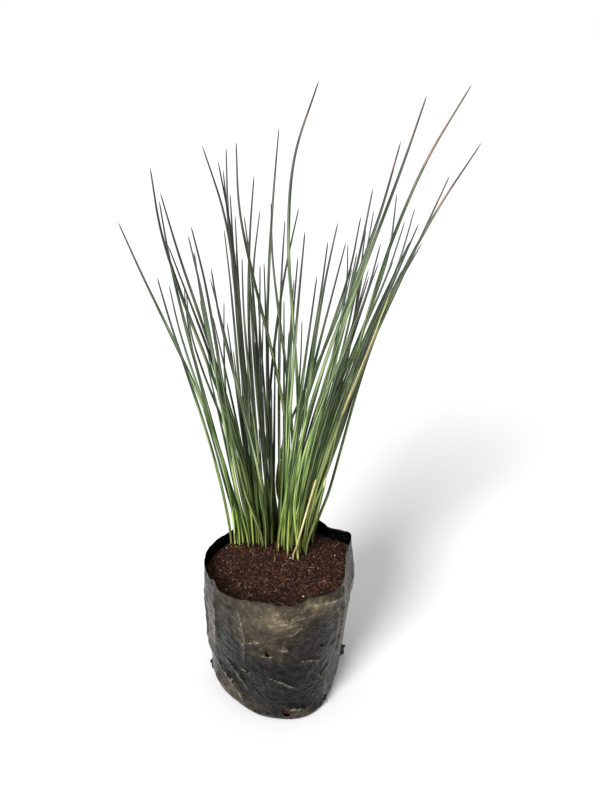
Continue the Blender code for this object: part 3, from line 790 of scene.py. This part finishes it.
def make_soil(material):
    """The body of the mix: a lumpy top, walls just inside the film and a flat floor."""
    bearings = [360.0 * column / SOIL_COLUMNS for column in range(SOIL_COLUMNS)]
    rows = []
    for ring in range(1, SOIL_RINGS + 1):
        share = (ring / SOIL_RINGS) ** 0.8
        top = [polar(b, (film_reach(b, SOIL_LEVEL) - SOIL_CLEARANCE) * share) for b in bearings]
        rows.append([(x, y, soil_surface(x, y)) for x, y in top])
    for step in range(1, SOIL_WALL_ROWS + 1):
        share = 1.0 - step / SOIL_WALL_ROWS
        height = SOIL_FLOOR + (SOIL_LEVEL - 3.0 * MM - SOIL_FLOOR) * share
        rows.append([(*polar(b, film_reach(b, height) - 2.2 * MM), height) for b in bearings])
    vertices = [(0.0, 0.0, soil_surface(0.0, 0.0))]
    for row in rows:
        vertices += row
    faces = []
    for column in range(SOIL_COLUMNS):
        after = (column + 1) % SOIL_COLUMNS
        faces.append((0, 1 + column, 1 + after))
        for row in range(len(rows) - 1):
            upper = 1 + row * SOIL_COLUMNS
            lower = upper + SOIL_COLUMNS
            faces.append((upper + column, lower + column, lower + after, upper + after))
    last = 1 + (len(rows) - 1) * SOIL_COLUMNS
    faces.append([last + column for column in reversed(range(SOIL_COLUMNS))])
    soil = mesh_piece("mix_body", vertices, faces, material)
    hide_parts("potting_mix")


def crumb_shape():
    """A small rough lump, the start of every crumb: an icosphere's points and faces."""
    deselect()
    bpy.ops.mesh.primitive_ico_sphere_add(subdivisions=1, radius=1.0)
    lump = bpy.context.object
    points = np.array([v.co for v in lump.data.vertices])
    faces = np.array([p.vertices for p in lump.data.polygons])
    bpy.data.objects.remove(lump)
    return points, faces


def spread_places(count, seed):
    """Places all over the top of the mix."""
    draw = random.Random(seed)
    places = []
    for _ in range(count):
        bearing = draw.uniform(0.0, 360.0)
        places.append(polar(bearing, (film_reach(bearing, SOIL_LEVEL) - 2.4 * MM) * sqrt(draw.random())))
    return places


def foot_places(feet, seed):
    """Places close around the foot of each stem, where the mix is heaped."""
    draw = random.Random(seed)
    places = []
    for x, y in feet:
        for _ in range(FOOT_CRUMBS):
            bearing = draw.uniform(0.0, 2.0 * pi)
            away = draw.uniform(1.6, 3.2) * MM
            places.append((x + away * cos(bearing), y + away * sin(bearing)))
    return places


def scatter(name, places, sizes, flatness, tones, material, seed):
    """Loose lumps on the mix, joined into one mesh, each squashed and turned its own way."""
    points, faces = crumb_shape()
    draw = random.Random(seed)
    vertices = []
    corners = []
    values = []
    for number, (x, y) in enumerate(places):
        size = sizes[0] + (sizes[1] - sizes[0]) * draw.random() ** 2.5
        stretch = Vector((draw.uniform(0.8, 1.5), draw.uniform(0.7, 1.1), draw.uniform(*flatness)))
        turn = Euler([draw.uniform(-0.6, 0.6), draw.uniform(-0.6, 0.6), draw.uniform(0.0, 6.28)]).to_matrix()
        rough = np.array([draw.uniform(0.75, 1.25) for _ in points])
        shape = points * rough[:, None] * np.array(stretch) * size
        shape = shape @ np.array(turn).T
        shape += (x, y, soil_surface(x, y) + size * draw.uniform(-0.1, 0.55))
        corners.append(faces + number * len(points))
        vertices.append(shape)
        values.append(np.full(len(points), draw.uniform(*tones)))
    piece = mesh_piece(name, np.concatenate(vertices), np.concatenate(corners), material)
    point_values(piece, "tone", np.concatenate(values))


def make_fibres(material):
    """Coir fibres and bits of straw lying on the mix, as thin bent tubes joined into one mesh."""
    draw = random.Random(11)
    sides = 4
    rings = 6
    vertices = []
    faces = []
    values = []
    for _ in range(FIBRES):
        bearing = draw.uniform(0.0, 360.0)
        x, y = polar(bearing, (film_reach(bearing, SOIL_LEVEL) - 9.0 * MM) * sqrt(draw.random()))
        heading = draw.uniform(0.0, 6.28)
        length = draw.uniform(3.0, 11.0) * MM
        thick = draw.uniform(0.1, 0.26) * MM
        curl = draw.uniform(-1.2, 1.2)
        tone = draw.random()
        first = len(vertices)
        for ring in range(rings):
            turn = heading + curl * ring / rings
            x += cos(turn) * length / rings
            y += sin(turn) * length / rings
            lift = soil_surface(x, y) + 0.35 * MM + 0.5 * MM * sin(ring / (rings - 1) * pi)
            for side in range(sides):
                angle = 2.0 * pi * side / sides
                vertices.append((x - sin(turn) * thick * cos(angle),
                                 y + cos(turn) * thick * cos(angle), lift + thick * sin(angle)))
                values.append(tone)
        for ring in range(rings - 1):
            for side in range(sides):
                after = (side + 1) % sides
                low = first + ring * sides
                faces.append((low + side, low + after, low + sides + after, low + sides + side))
        faces.append([first + side for side in reversed(range(sides))])
        faces.append([first + (rings - 1) * sides + side for side in range(sides)])
    piece = mesh_piece("coir_fibres", vertices, faces, material)
    point_values(piece, "tone", values)


# Stems


def cad_line(node):
    """The centre line of a packed stem: the middle of each of its six-sided rings, from the foot up."""
    welded = bmesh.new()
    welded.from_mesh(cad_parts[node].data)
    bmesh.ops.remove_doubles(welded, verts=welded.verts, dist=0.00002)
    points = np.array([v.co for v in welded.verts])
    welded.free()
    points = points[np.argsort(points[:, 2])]
    rings = points[:len(points) // 6 * 6].reshape(-1, 6, 3)
    middle = rings.mean(axis=1)
    radius = np.linalg.norm(rings[2] - middle[2], axis=1).mean()
    return middle, radius


def smooth_line(points, shares):
    """A smooth curve through points, read at shares of its length from 0 to 1."""
    points = np.asarray(points)
    steps = np.linalg.norm(np.diff(points, axis=0), axis=1)
    at = np.concatenate(([0.0], np.cumsum(steps))) / steps.sum()
    slopes = np.gradient(points, at, axis=0)
    first = np.clip(np.searchsorted(at, shares, side="right") - 1, 0, len(points) - 2)
    span = (at[first + 1] - at[first])[:, None]
    t = ((shares - at[first])[:, None]) / span
    return ((2 * t ** 3 - 3 * t ** 2 + 1) * points[first] + (t ** 3 - 2 * t ** 2 + t) * span * slopes[first]
            + (-2 * t ** 3 + 3 * t ** 2) * points[first + 1] + (t ** 3 - t ** 2) * span * slopes[first + 1])


def make_stem_pattern():
    """One straight stem of unit length and radius, cut into rings: every stem is a bent copy of it."""
    deselect()
    bpy.ops.mesh.primitive_cylinder_add(vertices=STEM_SIDES, radius=1.0, depth=1.0, location=(0.0, 0.0, 0.5))
    pattern = bpy.context.object
    pattern.name = "stem_pattern"
    bpy.ops.object.transform_apply(location=True, rotation=False, scale=False)
    bpy.ops.object.mode_set(mode="EDIT")
    bpy.ops.mesh.select_mode(type="EDGE")
    bpy.ops.mesh.select_all(action="DESELECT")
    shape = bmesh.from_edit_mesh(pattern.data)
    for edge in shape.edges:
        edge.select = abs(edge.verts[0].co.z - edge.verts[1].co.z) > 0.5
    bmesh.update_edit_mesh(pattern.data)
    bpy.ops.mesh.subdivide(number_cuts=STEM_RINGS - 2)
    bpy.ops.object.mode_set(mode="OBJECT")
    bpy.ops.object.shade_smooth()
    return pattern


def taper(share, length, blunt):
    """Width of a stem along its length, as a share of its full width."""
    left = (1.0 - share) * length
    foot = FOOT_SHARE + (1.0 - FOOT_SHARE) * soft_step(share * length / FOOT_LENGTH)
    body = foot * (1.0 - (1.0 - TOP_SHARE) * share)
    tip = 1.0 if blunt else TIP_SHARE + (1.0 - TIP_SHARE) * np.clip(left / TAPER_LENGTH, 0.0, 1.0) ** 0.8
    return body * tip * (0.08 + 0.92 * np.clip(left / TIP_POINT, 0.0, 1.0) ** 0.6)


def seen_down(points):
    """How far down the photograph each point shows."""
    up = (points[:, 1] - EYE.y) * sin(EYE_TILT) + (points[:, 2] - EYE.z) * cos(EYE_TILT)
    return MIDDLE_DOWN - FOCAL_PIXELS * up / forward_distance(points[:, 1], points[:, 2])


def bend_stem(name, pattern, line, radius, tone, material, spans=(), shade=1.0, blunt=False):
    """A copy of the straight pattern, bent along a line, ribbed, tapered and given its own tones."""
    piece = new_object(name, pattern.data.copy())
    mesh = piece.data
    flat = np.zeros(len(mesh.vertices) * 3, np.float32)
    mesh.vertices.foreach_get("co", flat)
    flat = flat.reshape(-1, 3).astype(float)
    length = np.linalg.norm(np.diff(np.asarray(line), axis=0), axis=1).sum()
    share = 1.0 - (1.0 - flat[:, 2]) ** 1.35
    centre = smooth_line(line, share)
    before, after = (smooth_line(line, np.clip(share + step, 0.0, 1.0)) for step in (-0.01, 0.01))
    ahead = after - before
    ahead /= np.linalg.norm(ahead, axis=1)[:, None]
    side = np.cross(np.broadcast_to((0.0, 1.0, 0.0), ahead.shape), ahead)
    side /= np.linalg.norm(side, axis=1)[:, None]
    front = np.cross(ahead, side)
    angle = np.arctan2(flat[:, 1], flat[:, 0])
    rib = np.round(angle / (2.0 * pi) * STEM_SIDES).astype(int) % 2
    width = radius * taper(share, length, blunt) * (1.0 - RIB_DEPTH * rib)
    spin = random.Random(name).uniform(0.0, 6.28)
    sideways = side * (np.cos(angle + spin) * width)[:, None]
    places = centre + sideways + front * (np.sin(angle + spin) * width)[:, None]
    mesh.vertices.foreach_set("co", places.astype(np.float32).ravel())
    mesh.update()
    mesh.materials.clear()
    mesh.materials.append(material)
    own = random.Random(name + " streaks").uniform(0.0, 40.0)
    fibre = np.stack((np.cos(angle) * 1.8 + own, np.sin(angle) * 1.8, share * length * 20.0), axis=1)
    point_values(piece, "fibre", fibre, "FLOAT_VECTOR")
    point_values(piece, "along", share)
    point_values(piece, "tone", np.full(len(share), tone))
    # Painted shade: the foot is darker deep in the tuft, and differs from stem to stem, and painted light
    # makes the stems at the tuft's edges lighter
    foot_x, foot_y = line[1][:2]
    edge = edge_share(foot_x)
    deep = min(1.0, max(0.0, (foot_y - row_depth(foot_x, 0.0, 0.0)) / (BACK_ROW_Y - FRONT_ROW_Y) * 2.0))
    deep = max(deep, random.Random(name + " foot").uniform(0.0, 0.75) * (1.0 - 0.6 * edge))
    foot_shade = 1.0 - DARK_FOOT * deep * np.exp(-((share * length / DARK_LENGTH) ** 2))
    point_values(piece, "shade", shade * (1.0 + EDGE_LIGHT * edge) * foot_shade)
    down = seen_down(centre)
    dying = np.zeros(len(share))
    for span in spans:
        fade = soft_step((down - span.top) / 3.0 + 0.5) * soft_step((span.bottom - down) / 3.0 + 0.5)
        dying = np.maximum(dying, span.amount * fade)
    point_values(piece, "withered", dying)
    finish_piece(piece)
    return piece


def row_depth(x, height, row):
    """How far back a row of the tuft stands at a place across the bag and a height."""
    share = row / BACK_ROW
    front_x = min(max(x, TUFT_LEFT), TUFT_FRONT_RIGHT)
    back_x = min(max(x, TUFT_LEFT), TUFT_BACK_RIGHT)
    front = FRONT_ROW_Y + FRONT_ROW_SLOPE * (TUFT_FRONT_RIGHT - front_x)
    back = BACK_ROW_Y - BACK_ROW_CURVE * (TUFT_BACK_RIGHT - back_x) ** 2
    lean = FRONT_ROW_LEAN + (BACK_ROW_LEAN - FRONT_ROW_LEAN) * share
    risen = max(0.0, height - SOIL_LEVEL - MOUND_HEIGHT / 2.0)
    return front + share * (back - front) + lean * risen * (0.75 + 0.25 * risen / LEAN_LENGTH)


def forward_distance(y, height):
    """Distance from the eye along its line of view."""
    return (y - EYE.y) * cos(EYE_TILT) - (height - EYE.z) * sin(EYE_TILT)


def at_depth(across, down, y):
    """The point that shows at a pixel of the photograph and stands at depth y."""
    steep = (MIDDLE_DOWN - down) / FOCAL_PIXELS
    sine = sin(EYE_TILT)
    cosine = cos(EYE_TILT)
    height = EYE.z + (y - EYE.y) * (steep * cosine - sine) / (cosine + steep * sine)
    return Vector((EYE.x + (across - MIDDLE_ACROSS) * forward_distance(y, height) / FOCAL_PIXELS, y, height))


def in_row(across, down, row):
    """The point of a row that shows at a pixel of the photograph."""
    point = at_depth(across, down, BACK_ROW_Y)
    for _ in range(30):
        point = at_depth(across, down, (point.y + row_depth(point.x, point.z, row)) / 2.0)
    return point


def find_foot(across, row):
    """Where a stem leaves the mix."""
    x = 0.0
    for _ in range(20):
        y = row_depth(x, 0.0, row)
        height = soil_height(x, y)
        x = EYE.x + (across - MIDDLE_ACROSS) * forward_distance(y, height) / FOCAL_PIXELS
    return Vector((x, y, height))


def inner_line(inner):
    """The centre line of an inner stem, from under the mix to its tip."""
    foot = find_foot(inner.foot, inner.row)
    bend = in_row(*inner.bend, inner.row)
    tip = in_row(*inner.tip, inner.row)
    return [foot - Vector((0.0, 0.0, SUNK)), foot + Vector((0.0, 0.0, 2.0 * MM)), bend, tip]


def edge_share(foot_x):
    """How near to the left or right edge of the tuft a foot stands: 0 in the middle, 1 at the edges."""
    return 1.0 - exp(-(((foot_x - TUFT_MIDDLE) / TUFT_HALF_WIDTH) ** 2))


def stem_tone(foot_x, draw):
    """Fresher yellow-green at the left and right edges of the tuft, greyer and darker in the middle, which
    partly paints the tuft's shade.
    """
    return min(1.0, max(0.0, 0.28 + 0.5 * edge_share(foot_x) + draw.uniform(-0.28, 0.22)))


# Dead stretches of the stems: between which heights of the photograph, and how far gone
Span = namedtuple("Span", "top bottom amount")
WITHERED = {
    "stem_30": (Span(118, 135, 0.3),),
    "stem_42": (Span(130, 160, 0.2), Span(159, 170, 0.75)),
    "stem_43": (Span(100, 143, 0.15), Span(124, 143, 0.35)),
    "stem_45": (Span(70, 150, 0.5), Span(145, 161, 0.85)),
    "stem_46": (Span(190, 208, 0.75),),
    "stem_47": (Span(186, 201, 0.6),),
    "dry_stem_01": (
        Span(280, 300, 0.6), Span(300, 372, 0.9), Span(372, 392, 0.5), Span(392, 412, 1.0),
        Span(412, 480, 0.2),
    ),
    "dry_stem_02": (Span(320, 346, 1.0), Span(346, 420, 0.35)),
    "dry_stub_01": (Span(470, 575, 1.0),),
}
# How rusty the dead stems are, from straw at 0
RUST = {"dry_stem_01": 0.1, "dry_stem_02": 0.8, "dry_stub_01": 0.2}
# How yellow-green the freshest stems are
FRESH = {f"stem_{number:02d}": tone for number, tone in (
    (1, 0.9), (2, 0.95), (3, 0.8), (14, 1.0), (16, 0.9), (17, 1.0), (18, 0.9), (20, 0.85), (33, 0.9),
    (35, 1.0), (36, 0.8), (42, 0.7), (45, 0.85), (51, 0.95),
)}
# Stems with an old straw-coloured sheath at the foot
SHEATHED = [f"stem_{number:02d}" for number in (2, 6, 8, 14, 22, 33, 35, 42, 43, 53)]


def make_stems(green, dry):
    """Every packed stem in its fine shape, and the inner ones that only the finished look has."""
    pattern = make_stem_pattern()
    draw = random.Random(5)
    feet = []
    for node in sorted(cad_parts):
        if "stem" not in node and "stub" not in node:
            continue
        line, radius = cad_line(node)
        line[0] = line[1] - (0.0, 0.0, SUNK)
        feet.append(line[1][:2])
        dead = node.startswith("dry")
        tone = RUST[node] if dead else FRESH.get(node, stem_tone(line[1][0], draw))
        piece = bend_stem("rush_" + node, pattern, line, radius, tone, dry if dead else green,
                          WITHERED.get(node, ()), draw.uniform(0.75, 1.25), node == "dry_stub_01")
        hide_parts(node)
        if node in SHEATHED:
            make_sheath(node, pattern, line, radius, dry, draw)

    def plant(name, inner, freshness, shades):
        line = inner_line(inner)
        feet.append(line[1][:2])
        tone = freshness * stem_tone(line[1][0], draw)
        bend_stem(name, pattern, line, inner.width * MM / 2.0, tone, green, shade=draw.uniform(*shades))

    # Painted shade: the inner stems are drawn darker than the packed ones
    for number, inner in enumerate(INNER, 1):
        plant(f"inner_stem_{number:02d}", inner, 1.0, (0.52, 1.02))
    for number, broken in enumerate(BROKEN, 1):
        dried = Span(broken.tip[1] - 5, broken.tip[1] + 8, 0.9)
        line = inner_line(broken)
        bend_stem(f"broken_stem_{number:02d}", pattern, line, broken.width * MM / 2.0, 0.3, dry, (dried,),
                  blunt=True)
    for number in range(1, HIDDEN_STEMS + 1):
        foot = draw.uniform(238.0, 309.0)
        row = draw.uniform(1.6, 6.6)
        down = draw.uniform(300.0, 440.0)
        out = foot - HIDDEN_MIDDLE
        tip = HIDDEN_MIDDLE + out * (1.0 + (HIDDEN_FEET_DOWN - down) / 130.0)
        bend = HIDDEN_MIDDLE + out * (1.0 + (HIDDEN_FEET_DOWN - HIDDEN_BEND_DOWN) / 150.0)
        hidden = Inner(foot, row, (bend, HIDDEN_BEND_DOWN), (tip, down), draw.uniform(2.4, 2.9))
        # Painted shade: the hidden stems deep in the tuft are darker and greyer still
        plant(f"hidden_stem_{number:02d}", hidden, 0.5, (0.35, 0.8))
    bpy.data.objects.remove(pattern)
    return feet


def make_sheath(node, pattern, line, radius, material, draw):
    """The old leaf sheath that clasps the foot of a stem: a short dry sleeve, a little wider than it."""
    foot = Vector(line[1])
    heading = (Vector(line[2]) - foot).normalized()
    length = draw.uniform(9.0, 19.0) * MM
    sleeve = [foot - heading * 3.0 * MM, foot, foot + heading * length * 0.6, foot + heading * length]
    bend_stem("sheath_" + node, pattern, sleeve, radius * 1.12, draw.uniform(0.1, 0.9), material,
              (Span(400.0, 620.0, draw.uniform(0.5, 1.0)),))


# The root's way: out from the bag, sideways and up in mm from the drain hole, and how thick it is there
ROOT_WAY = (
    (-2.5, 0.0, 0.0, 1.0),
    (0.0, 0.0, 0.0, 1.0),
    (2.0, 0.0, -0.8, 0.9),
    (2.6, 0.2, -3.0, 0.8),
    (2.5, -0.2, -5.0, 0.65),
    (2.7, 0.1, -6.4, 0.35),
)


def make_root(material):
    """The thin root that hangs out of the right drain hole, wiry and a little crooked."""
    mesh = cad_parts["drain_root"].data
    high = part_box("drain_root")[1]
    start = Vector(np.array([v.co for v in mesh.vertices if v.co.z > high.z - 2.0 * MM]).mean(axis=0))
    outwards = Vector((start.x, start.y, 0.0)).normalized()
    curve = bpy.data.curves.new("hanging_root", "CURVE")
    curve.dimensions = "3D"
    curve.bevel_depth = 0.45 * MM
    curve.bevel_resolution = 3
    curve.use_fill_caps = True
    spline = curve.splines.new("NURBS")
    spline.points.add(len(ROOT_WAY) - 1)
    for point, (out, sideways, up, thick) in zip(spline.points, ROOT_WAY):
        place = start + outwards * out * MM + Vector((sideways * MM, 0.0, up * MM))
        point.co = (*place, 1.0)
        point.radius = thick
    spline.use_endpoint_u = True
    curve.materials.append(material)
    root = new_object("hanging_root", curve)
    finish_piece(root)
    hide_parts("drain_root")


def build():
    make_camera()
    make_light()
    make_floor()
    make_bag(ldpe_film())
    make_soil(potting_mix())
    feet = make_stems(rush_stem(), dry_rush())
    crumb_tones = [(0.0, "#120a07"), (0.45, "#2d170f"), (0.8, "#4a2a1e"), (1.0, "#6f4c3a")]
    crumb = loose_grain("peat_crumb", crumb_tones, 0.92)
    chip = loose_grain("pale_chip", [(0.0, "#7a5a48"), (0.5, "#b08f84"), (1.0, "#d6bfb0")], 0.8)
    fibre = loose_grain("coir_fibre", [(0.0, "#4a2a1c"), (0.6, "#8a6546"), (1.0, "#c9a87c")], 0.85)
    scatter("mix_crumbs", spread_places(CRUMBS, 3), (0.35 * MM, 1.4 * MM), (0.5, 0.9), (0.0, 1.0), crumb, 4)
    scatter("foot_crumbs", foot_places(feet, 6), (0.5 * MM, 1.6 * MM), (0.5, 0.9), (0.0, 0.8), crumb, 7)
    scatter("pale_chips", spread_places(CHIPS, 8), (0.5 * MM, 1.1 * MM), (0.4, 0.7), (0.2, 1.0), chip, 9)
    make_fibres(fibre)
    make_root(root_skin())


build()
